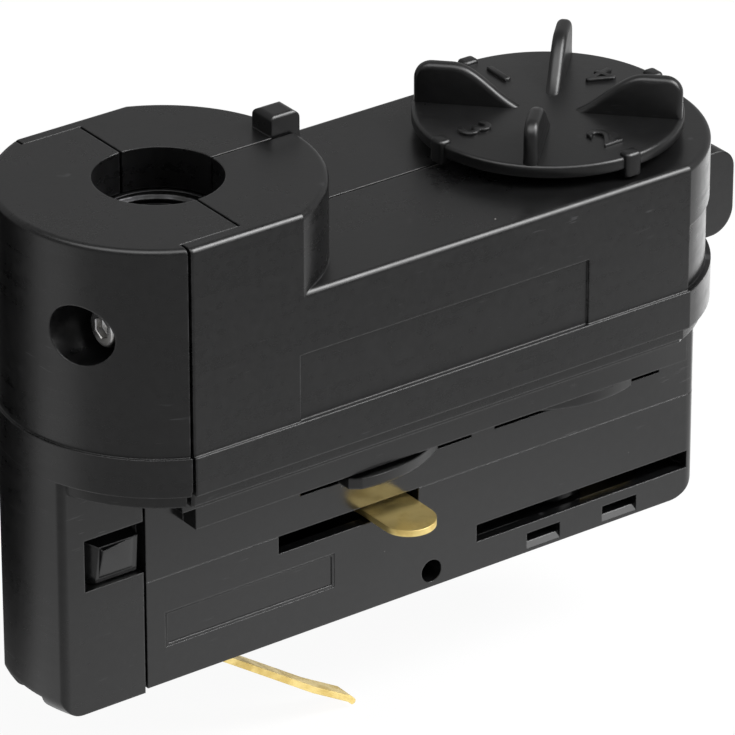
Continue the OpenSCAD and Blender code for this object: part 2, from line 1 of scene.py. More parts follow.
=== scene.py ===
"""Looks of a track light adapter: finishes, fine turned and raised pieces, and a white studio."""

import json
import logging
import math
from dataclasses import dataclass
from enum import Enum
from typing import Callable, Sequence

import bmesh
import bpy
from mathutils import Matrix, Vector


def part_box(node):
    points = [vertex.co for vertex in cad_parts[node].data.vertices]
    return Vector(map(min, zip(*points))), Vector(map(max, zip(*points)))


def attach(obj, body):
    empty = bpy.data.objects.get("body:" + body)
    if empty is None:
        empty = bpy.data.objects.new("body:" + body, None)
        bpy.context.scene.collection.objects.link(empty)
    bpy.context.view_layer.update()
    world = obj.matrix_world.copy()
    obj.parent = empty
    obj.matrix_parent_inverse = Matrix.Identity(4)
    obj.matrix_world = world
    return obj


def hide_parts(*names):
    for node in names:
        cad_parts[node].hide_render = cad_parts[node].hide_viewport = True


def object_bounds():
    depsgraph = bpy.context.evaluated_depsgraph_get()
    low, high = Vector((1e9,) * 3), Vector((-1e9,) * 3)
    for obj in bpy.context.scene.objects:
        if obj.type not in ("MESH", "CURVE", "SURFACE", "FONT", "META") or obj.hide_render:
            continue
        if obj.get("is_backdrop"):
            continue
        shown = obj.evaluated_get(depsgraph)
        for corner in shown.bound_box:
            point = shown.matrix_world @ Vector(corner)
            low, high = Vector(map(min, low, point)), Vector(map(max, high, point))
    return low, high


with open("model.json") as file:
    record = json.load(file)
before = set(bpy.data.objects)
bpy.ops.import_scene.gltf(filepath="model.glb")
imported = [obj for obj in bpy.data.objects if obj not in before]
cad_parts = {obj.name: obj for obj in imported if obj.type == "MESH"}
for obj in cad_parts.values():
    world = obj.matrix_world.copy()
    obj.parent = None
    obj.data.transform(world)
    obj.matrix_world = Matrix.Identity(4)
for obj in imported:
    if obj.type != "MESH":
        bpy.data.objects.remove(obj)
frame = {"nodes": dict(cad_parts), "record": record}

MM = 0.001
QUARTER = math.pi / 2
SMOOTH_LIMIT = math.radians(35.0)
WELD = 1e-6
NEAR_AXIS = 0.02
RIDGE_TOP = 1.35
RIDGE_SLOPE = 4.4
NOISE_MEAN = 0.5
FLATTEN = 1e9
UP = (0.0, 0.0, 1.0)
EVEN = (1.0, 1.0, 1.0)
WHITE = (1.0, 1.0, 1.0)
BLACK = (0.0, 0.0, 0.0)
CORNERS = ((-1, -1), (1, -1), (1, 1), (-1, 1))
LOG = logging.getLogger("track_adapter")
Pair = tuple[float, float]
Colour = tuple[float, float, float]
Point = tuple[float, float, float]
Radius = Callable[[float], float]


class Body(Enum):
    """Moving bodies that a fine piece can ride on."""

    HOUSING = "housing"
    SELECTOR = "selector"


class Slot(Enum):
    """Finish slots of the part."""

    HOUSING = "housing_plastic"
    INSERT = "insert_plastic"
    DIAL = "dial_plastic"
    NATURAL = "natural_plastic"
    BRASS = "brass"
    PLATED = "plated_steel"
    DARK = "dark_steel"


class Value:
    """A number socket whose arithmetic adds Math nodes to its tree."""

    def __init__(self, paint: "Paint", socket: bpy.types.NodeSocket) -> None:
        """Hold the tree and the socket."""
        self.paint = paint
        self.socket = socket

    def _math(self, operation: str, first: object, second: object) -> "Value":
        """Add one Math node.

        Args:
            operation: name of the Math operation.
            first: number or value for the first socket.
            second: number or value for the second socket.

        Returns:
            The node's result.
        """
        node = self.paint.node("ShaderNodeMath", {"operation": operation}, {0: first, 1: second})
        return Value(self.paint, node.outputs[0])

    def __add__(self, other: object) -> "Value":
        """Sum."""
        return self._math("ADD", self, other)

    def __radd__(self, other: object) -> "Value":
        """Sum, number first."""
        return self._math("ADD", other, self)

    def __sub__(self, other: object) -> "Value":
        """Difference."""
        return self._math("SUBTRACT", self, other)

    def __rsub__(self, other: object) -> "Value":
        """Difference, number first."""
        return self._math("SUBTRACT", other, self)

    def __mul__(self, other: object) -> "Value":
        """Product."""
        return self._math("MULTIPLY", self, other)

    def __rmul__(self, other: object) -> "Value":
        """Product, number first."""
        return self._math("MULTIPLY", other, self)

    def most(self, other: object) -> "Value":
        """The larger of two values."""
        return self._math("MAXIMUM", self, other)

    def step(self, low: float, high: float) -> "Value":
        """Smooth rise from 0 at low to 1 at high.

        Args:
            low: value where the rise begins.
            high: value where the rise ends.

        Returns:
            The mask, between 0 and 1.
        """
        node = self.paint.node("ShaderNodeMapRange", {"interpolation_type": "SMOOTHSTEP"},
                               {"Value": self, "From Min": low, "From Max": high})
        return Value(self.paint, node.outputs[0])


class Paint:
    """The node tree of one material or of the world."""

    BEVEL_SAMPLES = 6
    EDGE_RISE = (0.01, 0.16)
    DUST_RISE = (0.1, 0.8)
    SPECK_CUT = 0.001
    SPECK_SOFT = 0.3

    def __init__(self, owner: bpy.types.ID) -> None:
        """Empty the owner's node tree and keep it.

        Args:
            owner: the material or the world.
        """
        owner.use_nodes = True
        self.tree = owner.node_tree
        self.tree.nodes.clear()

    def node(self, kind: str, settings: dict[str, object] | None = None,
             sockets: dict[object, object] | None = None) -> bpy.types.Node:
        """Add a node.

        Args:
            kind: node type.
            settings: attributes that are set first.
            sockets: values or links of the inputs, by name or number.

        Returns:
            The new node.
        """
        made = self.tree.nodes.new(kind)
        for key, value in (settings or {}).items():
            setattr(made, key, value)
        for key, value in (sockets or {}).items():
            self.feed(made.inputs[key], value)
        return made

    def feed(self, socket: bpy.types.NodeSocket, value: object) -> None:
        """Link a value or socket to an input, or set a constant on it.

        Args:
            socket: the input.
            value: a value, an output socket or a constant.
        """
        source = value.socket if isinstance(value, Value) else value
        if isinstance(source, bpy.types.NodeSocket):
            self.tree.links.new(source, socket)
        elif isinstance(source, tuple) and socket.type == "RGBA":
            socket.default_value = (*source, 1.0)
        else:
            socket.default_value = source

    def place(self, stretch: Point = EVEN) -> bpy.types.NodeSocket:
        """Position on the part in millimetres.

        Args:
            stretch: divisor along each axis, which lengthens what is drawn there.

        Returns:
            The position's socket.
        """
        where = self.node("ShaderNodeTexCoord").outputs["Object"]
        factor = tuple(1 / (MM * part) for part in stretch)
        scaled = self.node("ShaderNodeVectorMath", {"operation": "MULTIPLY"}, {0: where, 1: factor})
        return scaled.outputs[0]

    def noise(self, size: float, detail: float = 2.0, stretch: Point = EVEN) -> Value:
        """Noise with features of a given size.

        Args:
            size: feature size in millimetres.
            detail: octaves of finer noise.
            stretch: lengthening of the features along each axis.

        Returns:
            The noise, about 0.5.
        """
        sockets = {"Vector": self.place(stretch), "Scale": 1 / size, "Detail": detail}
        return Value(self, self.node("ShaderNodeTexNoise", None, sockets).outputs[0])

    def dot(self, first: object, second: object) -> Value:
        """Scalar product of two vectors."""
        node = self.node("ShaderNodeVectorMath", {"operation": "DOT_PRODUCT"}, {0: first, 1: second})
        return Value(self, node.outputs["Value"])

    def blend(self, factor: object, first: object, second: object) -> bpy.types.NodeSocket:
        """Mix two colours by a factor."""
        node = self.node("ShaderNodeMix", {"data_type": "RGBA"}, {"Factor": factor, 6: first, 7: second})
        return node.outputs[2]

    def mix(self, factor: object, first: bpy.types.Node, second: bpy.types.Node) -> bpy.types.Node:
        """Mix two shaders by a factor."""
        shaders = {0: factor, 1: first.outputs[0], 2: second.outputs[0]}
        return self.node("ShaderNodeMixShader", None, shaders)

    def rounded_normal(self, radius: float) -> bpy.types.NodeSocket:
        """Surface normal with the edges rounded by a radius in millimetres."""
        settings = {"samples": self.BEVEL_SAMPLES}
        return self.node("ShaderNodeBevel", settings, {"Radius": radius * MM}).outputs[0]

    def edge_mask(self, normal: bpy.types.NodeSocket) -> Value:
        """Mask that grows towards the edges, from the rounded normal."""
        flat = self.node("ShaderNodeNewGeometry").outputs["Normal"]
        return (1 - self.dot(normal, flat)).step(*self.EDGE_RISE)

    def facing_up(self) -> Value:
        """Mask of the faces on which dust can lie."""
        normal = self.node("ShaderNodeNewGeometry").outputs["Normal"]
        return self.dot(normal, UP).step(*self.DUST_RISE)

    def specks(self, spacing: float, radius: float, share: float) -> Value:
        """Scattered round specks.

        Args:
            spacing: mean distance between the places where a speck may lie, in millimetres.
            radius: radius of the largest speck in millimetres.
            share: share of the places that hold a speck.

        Returns:
            The mask of the specks.
        """
        sockets = {"Vector": self.place(), "Scale": 1 / spacing, "Randomness": 1.0}
        cells = self.node("ShaderNodeTexVoronoi", None, sockets)
        tint = self.node("ShaderNodeSeparateColor", None, {0: cells.outputs["Color"]})
        chosen = Value(self, tint.outputs[0]).step(1 - share, 1 + self.SPECK_CUT - share)
        reach = Value(self, tint.outputs[1]) * (radius / spacing)
        distance = Value(self, cells.outputs["Distance"])
        return (reach - distance).step(0.0, self.SPECK_SOFT * radius / spacing) * chosen

    def relief(self, height: object, depth: float, normal: bpy.types.NodeSocket) -> bpy.types.NodeSocket:
        """Bump of a height between 0 and 1, with a depth in millimetres, on a normal."""
        sockets = {"Height": height, "Distance": depth * MM, "Strength": 1.0, "Normal": normal}
        return self.node("ShaderNodeBump", None, sockets).outputs[0]

    def surface(self, sockets: dict[object, object]) -> None:
        """End the tree of a material with a Principled shader."""
        shader = self.node("ShaderNodeBsdfPrincipled", None, sockets)
        self.node("ShaderNodeOutputMaterial", None, {"Surface": shader.outputs[0]})


@dataclass(frozen=True)
class MouldedPlastic:
    """Black moulded plastic with a fine texture, soft scuffs and a little dust. Sizes in mm.

    A field that ends in rise holds the levels between which a mask grows. One that ends in rough or
    relief is the weight of a noise in the roughness or in the height.
    """

    slot: Slot
    colour: Colour
    roughness: float
    grain: float
    grain_depth: float
    edge: float
    scuff: float
    dust: float
    mottle: float = 0.9
    cloud: float = 9.0
    flow: float = 0.7
    flow_stretch: Point = (14.0, 14.0, 1.0)
    rub: float = 0.35
    rub_stretch: Point = (9.0, 9.0, 1.0)
    rub_rise: Pair = (0.66, 0.74)
    rub_cloud_rise: Pair = (0.5, 0.7)
    speck_spacing: float = 2.6
    speck_radius: float = 0.11
    speck_share: float = 0.22
    speck_colour: Colour = (0.42, 0.41, 0.39)
    side_dust: float = 0.25
    lift_base: float = 0.006
    lift_gain: float = 1.3
    lift_rise: Pair = (0.35, 0.75)
    lift_share: float = 0.35
    worn_colour: Colour = (0.075, 0.075, 0.078)
    worn_rise: Pair = (0.45, 0.65)
    worn_share: float = 0.5
    cloud_rough: float = 0.1
    mottle_rough: float = 0.13
    flow_rough: float = 0.14
    dust_rough: float = 0.3
    grain_relief: float = 0.3
    mottle_relief: float = 0.5
    flow_relief: float = 0.2
    ior: float = 1.5

    def material(self) -> bpy.types.Material:
        """Build the material.

        Returns:
            The new material.
        """
        made = bpy.data.materials.new("finish_" + self.slot.value)
        paint = Paint(made)
        normal = paint.rounded_normal(self.edge)
        edge = paint.edge_mask(normal)
        grain = paint.noise(self.grain, detail=1.0)
        mottle = paint.noise(self.mottle, detail=3.0)
        cloud = paint.noise(self.cloud, detail=3.0)
        flow = paint.noise(self.flow, stretch=self.flow_stretch)
        streaks = paint.noise(self.rub, stretch=self.rub_stretch)
        rub = streaks.step(*self.rub_rise) * cloud.step(*self.rub_cloud_rise)
        specks = paint.specks(self.speck_spacing, self.speck_radius, self.speck_share)
        dust = specks * (self.side_dust + (1 - self.side_dust) * paint.facing_up()) * self.dust
        lift = tuple(self.lift_base + self.lift_gain * part for part in self.colour)
        shade = paint.blend(mottle.step(*self.lift_rise) * self.lift_share, self.colour, lift)
        wear = (edge * mottle.step(*self.worn_rise) * self.worn_share).most(rub * self.scuff)
        colour = paint.blend(dust, paint.blend(wear, shade, self.worn_colour), self.speck_colour)
        rough = (self.roughness + self.cloud_rough * (cloud - NOISE_MEAN)
                 + self.mottle_rough * (mottle - NOISE_MEAN) + self.flow_rough * (flow - NOISE_MEAN)
                 + self.dust_rough * dust)
        height = grain * self.grain_relief + mottle * self.mottle_relief + flow * self.flow_relief
        paint.surface({"Base Color": colour, "Roughness": rough, "IOR": self.ior,
                       "Normal": paint.relief(height, self.grain_depth, normal)})
        return made


@dataclass(frozen=True)
class NaturalPlastic:
    """Unpigmented moulding, a little cloudy. Sizes in mm."""

    slot: Slot
    colour: Colour
    shade: Colour
    roughness: float = 0.36
    edge: float = 0.15
    cloud: float = 4.0
    cloud_rise: Pair = (0.3, 0.7)
    mottle: float = 0.5
    mottle_rough: float = 0.16
    mottle_depth: float = 0.004
    ior: float = 1.52

    def material(self) -> bpy.types.Material:
        """Build the material.

        Returns:
            The new material.
        """
        made = bpy.data.materials.new("finish_" + self.slot.value)
        paint = Paint(made)
        normal = paint.rounded_normal(self.edge)
        cloud = paint.noise(self.cloud, detail=4.0)
        mottle = paint.noise(self.mottle)
        colour = paint.blend(cloud.step(*self.cloud_rise), self.colour, self.shade)
        rough = self.roughness + self.mottle_rough * (mottle - NOISE_MEAN)
        paint.surface({"Base Color": colour, "Roughness": rough, "IOR": self.ior,
                       "Normal": paint.relief(mottle, self.mottle_depth, normal)})
        return made


@dataclass(frozen=True)
class Metal:
    """Rolled or plated metal: fine lines along one way, tarnish in clouds, brighter edges. Sizes in mm."""

    slot: Slot
    colour: Colour
    tarnish: Colour
    roughness: float
    lines: Point
    line_depth: float
    line: float = 0.12
    line_rough: float = 0.18
    edge: float = 0.1
    edge_clean: float = 0.7
    cloud: float = 2.4
    cloud_rise: Pair = (0.42, 0.68)
    stain_rough: float = 0.14

    def material(self) -> bpy.types.Material:
        """Build the material.

        Returns:
            The new material.
        """
        made = bpy.data.materials.new("finish_" + self.slot.value)
        paint = Paint(made)
        normal = paint.rounded_normal(self.edge)
        edge = paint.edge_mask(normal)
        lines = paint.noise(self.line, stretch=self.lines)
        cloud = paint.noise(self.cloud, detail=4.0)
        stain = cloud.step(*self.cloud_rise) * (1 - self.edge_clean * edge)
        colour = paint.blend(stain, self.colour, self.tarnish)
        rough = self.roughness + self.line_rough * (lines - NOISE_MEAN) + self.stain_rough * stain
        paint.surface({"Base Color": colour, "Roughness": rough, "Metallic": 1.0,
                       "Normal": paint.relief(lines, self.line_depth, normal)})
        return made


FINISHES = (
    MouldedPlastic(Slot.HOUSING, colour=(0.005, 0.005, 0.0052), roughness=0.3, grain=0.24,
                   grain_depth=0.012, edge=0.22, scuff=0.6, dust=1.0),
    MouldedPlastic(Slot.INSERT, colour=(0.005, 0.005, 0.0053), roughness=0.18, grain=0.3,
                   grain_depth=0.007, edge=0.16, scuff=0.6, dust=1.0),
    MouldedPlastic(Slot.DIAL, colour=(0.0045, 0.0045, 0.0047), roughness=0.32, grain=0.26,
                   grain_depth=0.012, edge=0.3, scuff=0.3, dust=0.8),
    NaturalPlastic(Slot.NATURAL, colour=(0.7, 0.67, 0.58), shade=(0.62, 0.58, 0.48)),
    Metal(Slot.BRASS, colour=(0.88, 0.7, 0.29), tarnish=(0.7, 0.53, 0.19), roughness=0.46,
          lines=(30.0, 1.0, 1.0), line_depth=0.002),
    Metal(Slot.PLATED, colour=(0.66, 0.66, 0.67), tarnish=(0.48, 0.47, 0.45), roughness=0.22,
          lines=EVEN, line_depth=0.001),
    Metal(Slot.DARK, colour=(0.05, 0.05, 0.052), tarnish=(0.03, 0.03, 0.03), roughness=0.4,
          lines=EVEN, line_depth=0.002),
)


class Workshop:
    """Keeps one material for each slot and turns mesh data into pieces of the part."""

    def __init__(self, finishes: Sequence[MouldedPlastic | NaturalPlastic | Metal]) -> None:
        """Build every finish once and look up the slot of each CAD node.

        Args:
            finishes: one finish for each slot.
        """
        self.materials = {finish.slot: finish.material() for finish in finishes}
        entries = frame["record"]["subparts"]
        self.record_slots = {entry["node"]: Slot(entry["material_slot"]) for entry in entries}

    def dress(self, nodes: Sequence[str]) -> None:
        """Give CAD nodes the finishes of their slots.

        Args:
            nodes: names of the nodes.
        """
        for node in nodes:
            data = frame["nodes"][node].data
            data.materials.clear()
            data.materials.append(self.materials[self.record_slots[node]])
            LOG.info("%s dressed as %s", node, self.record_slots[node].value)

    def piece(self, name: str, shape: bmesh.types.BMesh, slot: Slot, body: Body,
              stands_for: str | None = None) -> None:
        """Turn a shape into a piece that rides on a body.

        Args:
            name: the piece's name.
            shape: closed shape in the part's frame, freed here.
            slot: the finish slot.
            body: the body that carries it.
            stands_for: the CAD node that it replaces, if any.
        """
        bmesh.ops.recalc_face_normals(shape, faces=shape.faces)
        data = bpy.data.meshes.new(name)
        shape.to_mesh(data)
        shape.free()
        data.materials.append(self.materials[slot])
        made = bpy.data.objects.new(name, data)
        bpy.context.scene.collection.objects.link(made)
        smooth_by_angle(data)
        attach(made, body.value)
        if stands_for:
            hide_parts(stands_for)
        LOG.info("%s built with %d faces, rides on %s", name, len(data.polygons), body.value)


def smooth_by_angle(data: bpy.types.Mesh) -> None:
    """Shade a mesh smooth, with sharp edges where its faces meet at a wide angle.

    Args:
        data: the mesh.
    """
    data.shade_smooth()
    shape = bmesh.new()
    shape.from_mesh(data)
    for edge in shape.edges:
        edge.smooth = len(edge.link_faces) == 2 and edge.calc_face_angle() < SMOOTH_LIMIT
    shape.to_mesh(data)
    shape.free()


def ring_angles(steps: int) -> list[float]:
    """Angles of the points of a ring."""
    return [math.tau * i / steps for i in range(steps)]


def ring_lattice(rings: Sequence[Sequence[Point]], looped: bool) -> bmesh.types.BMesh:
    """Join rings of points into a closed surface.

    Args:
        rings: rings with the same number of points, in order.
        looped: join the last ring to the first; otherwise both ends are capped.

    Returns:
        The closed shape.
    """
    shape = bmesh.new()
    rows = [[shape.verts.new(point) for point in ring] for ring in rings]
    count = len(rows[0])
    pairs = list(zip(rows, rows[1:]))
    if looped:
        pairs.append((rows[-1], rows[0]))
    for low, high in pairs:
        for i in range(count):
            j = (i + 1) % count
            shape.faces.new((low[i], low[j], high[j], high[i]))
    if not looped:
        shape.faces.new(rows[0])
        shape.faces.new(rows[-1])
    return shape


def inset_loop(loop: Sequence[Pair], amount: float) -> list[Pair]:
    """Move a loop's points inwards.

    Args:
        loop: points in anticlockwise order.
        amount: distance along each point's normal.

    Returns:
        The moved points.
    """
    moved = []
    for i, (x, y) in enumerate(loop):
        before, after = loop[i - 1], loop[(i + 1) % len(loop)]
        way = Vector((after[0] - before[0], after[1] - before[1])).normalized()
        moved.append((x - amount * way.y, y + amount * way.x))
    return moved


def hexagon(flat: float) -> Radius:
    """Radius of a hexagon at an angle, from half its width across the flats."""
    return lambda angle: flat / math.cos((angle + math.pi / 6) % (math.pi / 3) - math.pi / 6)


def ridge(angle: float, height: float, pitch: float) -> float:
    """Height of a thread ridge at an angle and a height along its axis, between 0 and 1."""
    phase = (height / pitch - angle / math.tau) % 1
    return max(0.0, min(1.0, RIDGE_TOP - abs(RIDGE_SLOPE * phase - RIDGE_SLOPE / 2)))


@dataclass
class SubAssembly:
    """A group of CAD nodes that take their finishes; a group with fine pieces builds those too."""

    shop: Workshop
    nodes: tuple[str, ...] = ()

    def build(self) -> None:
        """Dress every node."""
        self.shop.dress(self.nodes)


@dataclass
class Housing(SubAssembly):
    """Shells, end cap, cap screws and stem nut. Sizes in mm, shares without a unit."""

    nodes: tuple[str, ...] = ("front_shell", "rear_shell", "end_cap")
    cap_screws: tuple[str, ...] = ("cap_screw_front", "cap_screw_rear")
    nut_flats: float = 17.0
    nut_bore: float = 6.2
    nut_chamfer: float = 0.45
    nut_crown: float = 0.15
    nut_rows: int = 40
    thread_deep: float = 0.42
    thread_pitch: float = 1.0
    thread_fade: float = 2.5
    head_round: float = 0.35
    head_long: float = 2.0
    head_steps: int = 6
    socket_flat: float = 0.92
    socket_deep: float = 1.05
    cone_middle: float = 0.15
    cone_deep: float = 0.3
    cone_share: float = 0.8
    lip_deep: float = 0.12
    lip_share: float = 1.1
    shank_share: float = 0.6
    shank_thread: float = 0.22
    shank_pitch: float = 0.8
    shank_rows: int = 110
    point_long: float = 1.2
    point_share: float = 0.35
    steps: int = 72

    def build(self) -> None:
        """Dress the shells and build the turned pieces."""
        super().build()
        self.build_nut()
        for node in self.cap_screws:
            self.build_cap_screw(node)

    def build_nut(self) -> None:
        """Build the threaded hexagon nut in its pocket under the stem bore."""
        low, high = (corner.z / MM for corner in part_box("stem_nut"))
        outline = hexagon(self.nut_flats / 2)
        angles = ring_angles(self.steps)
        rings: list[list[Point]] = []
        for row in range(self.nut_rows + 1):
            z = low + (high - low) * row / self.nut_rows
            deep = self.thread_deep * min(1.0, self.thread_fade * min(z - low, high - z))
            rings.append([self.around(angle, self.nut_bore - deep * ridge(angle, z, self.thread_pitch), z)
                          for angle in angles])
        crown = self.nut_flats / 2 - self.nut_crown
        for z, inset in ((high, self.nut_chamfer), (high - self.nut_chamfer, 0.0),
                         (low + self.nut_chamfer, 0.0), (low, self.nut_chamfer)):
            limit = crown if inset else 2 * crown
            rings.append([self.around(angle, min(limit, outline(angle)), z) for angle in angles])
        self.shop.piece("stem_nut_threaded", ring_lattice(rings, True), Slot.DARK, Body.HOUSING, "stem_nut")

    def around(self, angle: float, radius: float, z: float) -> Point:
        """Point at an angle and radius about the stem axis."""
        return (radius * math.cos(angle) * MM, radius * math.sin(angle) * MM, z * MM)

    def build_cap_screw(self, node: str) -> None:
        """Build a socket screw with a rounded head and a threaded shank.

        Args:
            node: the CAD node that the screw stands for.
        """
        low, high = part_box(node)
        axis = (low + high) / 2 / MM
        start = low.x / MM
        head = (high.y - low.y) / 2 / MM
        shank = self.shank_share * head
        socket = hexagon(self.socket_flat)
        rows: list[tuple[float, Radius]] = [
            (self.socket_deep, lambda angle: NEAR_AXIS),
            (self.socket_deep - self.cone_middle, lambda angle: self.cone_share * socket(angle)),
            (self.socket_deep - self.cone_deep, socket),
            (self.lip_deep, socket),
            (0.0, lambda angle: self.lip_share * socket(angle)),
            *self.head_rows(head),
            (self.head_long, lambda angle: head),
            (self.head_long, lambda angle: shank),
            *self.shank_thread_rows(shank, (high.x - low.x) / MM - self.head_long),
        ]
        rings = [[((start + along) * MM, (axis.y + radius(angle) * math.cos(angle)) * MM,
                   (axis.z + radius(angle) * math.sin(angle)) * MM) for angle in ring_angles(self.steps)]
                 for along, radius in rows]
        self.shop.piece(node + "_socket", ring_lattice(rings, False), Slot.PLATED, Body.HOUSING, node)

    def head_rows(self, head: float) -> list[tuple[float, Radius]]:
        """Quarter round from the head's face to its side.

        Args:
            head: radius of the head.

        Returns:
            Distance along the axis and radius of each row.
        """
        rows = []
        for i in range(self.head_steps + 1):
            lean = QUARTER * i / self.head_steps
            radius = head - self.head_round * (1 - math.sin(lean))
            rows.append((self.head_round * (1 - math.cos(lean)), lambda angle, radius=radius: radius))
        return rows

    def shank_thread_rows(self, shank: float, length: float) -> list[tuple[float, Radius]]:
        """Threaded shank that narrows to a blunt point.

        Args:
            shank: radius of the shank.
            length: length of the shank.

        Returns:
            Distance along the axis and radius of each row.
        """
        rows = []
        for i in range(1, self.shank_rows + 1):
            along = self.head_long + length * i / self.shank_rows
            point = min(1.0, (self.head_long + length - along) / self.point_long + self.point_share)
            rows.append((along, lambda angle, along=along, point=point: shank * point
                         - self.shank_thread * ridge(angle, along, self.shank_pitch) * point))
        return rows


@dataclass(frozen=True)
class Rib:
    """An upright rib across the inside. Sizes in mm, heights above the insert's lower face."""

    name: str
    x: float
    half: Pair
    low: float
    high: float
    slot: Slot
    ease: float = 0.25

    def build(self, shop: Workshop, base: float) -> None:
        """Build the rib with an eased top.

        Args:
            shop: the workshop.
            base: height of the insert's lower face.
        """
        thick, deep = self.half
        rings = []
        for z, ease in ((self.low, 0.0), (self.high - self.ease, 0.0), (self.high, self.ease)):
            rings.append([((self.x + x * (thick - ease)) * MM, y * deep * MM, (base + z) * MM)
                          for x, y in CORNERS])
        shop.piece(self.name, ring_lattice(rings, False), self.slot, Body.HOUSING)


@dataclass
class TrackInsert(SubAssembly):
    """Insert core and cover, with plate border, latch faces, inner ribs and the round hole's end.

    Sizes in mm, heights above the insert's lower face.
    """

    nodes: tuple[str, ...] = ("insert_core", "insert_cover")
    plate_left: float = -3.8
    plate_right: float = 16.8
    plate_low: float = 4.0
    plate_high: float = 7.9
    plate_sink: float = 0.15
    border: float = 0.3
    border_root: float = 0.05
    border_shoulder: float = 0.06
    border_crest: float = 0.01
    crest_span: Pair = (0.3, 0.7)
    latch_left: float = -11.2
    latch_right: float = -6.75
    latch_low: float = 13.5
    latch_high: float = 17.45
    latch_foot: Pair = (4.9, 5.2)
    latch_sides: tuple[tuple[str, int], ...] = (("latch_face_front", -1), ("latch_face_rear", 1))
    peak_x: float = -10.75
    peak_z: float = 17.05
    peak_out: float = 5.56
    peak_half: Pair = (0.22, 0.08)
    ribs: tuple[Rib, ...] = (
        Rib("insert_rib", x=30.8, half=(0.6, 4.5), low=2.6, high=11.8, slot=Slot.INSERT),
        Rib("cap_rib", x=-13.3, half=(0.5, 4.3), low=12.8, high=19.4, slot=Slot.HOUSING),
        Rib("seam_rib", x=-6.15, half=(0.3, 3.5), low=15.5, high=23.8, slot=Slot.HOUSING),
    )
    hole_x: float = 28.98
    hole_z: float = 1.85
    hole_end: tuple[Pair, ...] = ((-2.55, 1.3), (-3.1, 1.3), (-2.85, 0.1))
    hole_steps: int = 32

    def build(self) -> None:
        """Dress the insert and build its border, ribs, hole end and latch faces."""
        super().build()
        self.build_border()
        for rib in self.ribs:
            rib.build(self.shop, self.base())
        self.build_hole_end()
        for name, side in self.latch_sides:
            self.build_latch(name, side)

    def base(self) -> float:
        """Height of the insert's lower face."""
        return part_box("insert_cover")[0].z / MM

    def build_hole_end(self) -> None:
        """Build the coned blind end of the round hole in the insert's face."""
        height = self.base() + self.hole_z
        rings = []
        for y, radius in self.hole_end:
            rings.append([((self.hole_x + radius * math.cos(turn)) * MM, y * MM,
                           (height + radius * math.sin(turn)) * MM) for turn in ring_angles(self.hole_steps)])
        self.shop.piece("hole_end", ring_lattice(rings, False), Slot.INSERT, Body.HOUSING)

    def build_latch(self, name: str, side: int) -> None:
        """Build the hipped face of a latch lug, which shows through the cap's window.

        Args:
            name: the piece's name.
            side: -1 for the front, 1 for the rear.
        """
        base = self.base()
        wide, tall = self.peak_half
        foot_low, foot_high = self.latch_foot
        foot = ((self.latch_left, foot_low, self.latch_low), (self.latch_right, foot_low, self.latch_low),
                (self.latch_right, foot_high, self.latch_high), (self.latch_left, foot_high, self.latch_high))
        peak = tuple((self.peak_x + x * wide, self.peak_out, self.peak_z + z * tall) for x, z in CORNERS)
        rings = [[(x * MM, side * y * MM, (base + z) * MM) for x, y, z in ring] for ring in (foot, peak)]
        self.shop.piece(name, ring_lattice(rings, False), Slot.INSERT, Body.HOUSING)

    def build_border(self) -> None:
        """Build the border as a closed ring with a rounded crest, level with the insert's face."""
        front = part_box("insert_cover")[0].y / MM
        base = self.base()
        corners = ((self.plate_left, self.plate_low), (self.plate_right, self.plate_low),
                   (self.plate_right, self.plate_high), (self.plate_left, self.plate_high))
        middle_x = (self.plate_left + self.plate_right) / 2
        middle_z = (self.plate_low + self.plate_high) / 2
        root = self.plate_sink + self.border_root
        crest = [(share, self.border_crest) for share in self.crest_span]
        section = ((0.0, root), (0.0, self.border_shoulder), *crest, (1.0, self.border_shoulder), (1.0, root))
        rings = []
        for x, z in corners:
            ring = []
            for share, depth in section:
                inset = self.border * share
                ring.append(((x + math.copysign(inset, middle_x - x)) * MM, (front + depth) * MM,
                             (base + z + math.copysign(inset, middle_z - z)) * MM))
            rings.append(ring)
        self.shop.piece("plate_border", ring_lattice(rings, True), Slot.INSERT, Body.HOUSING)


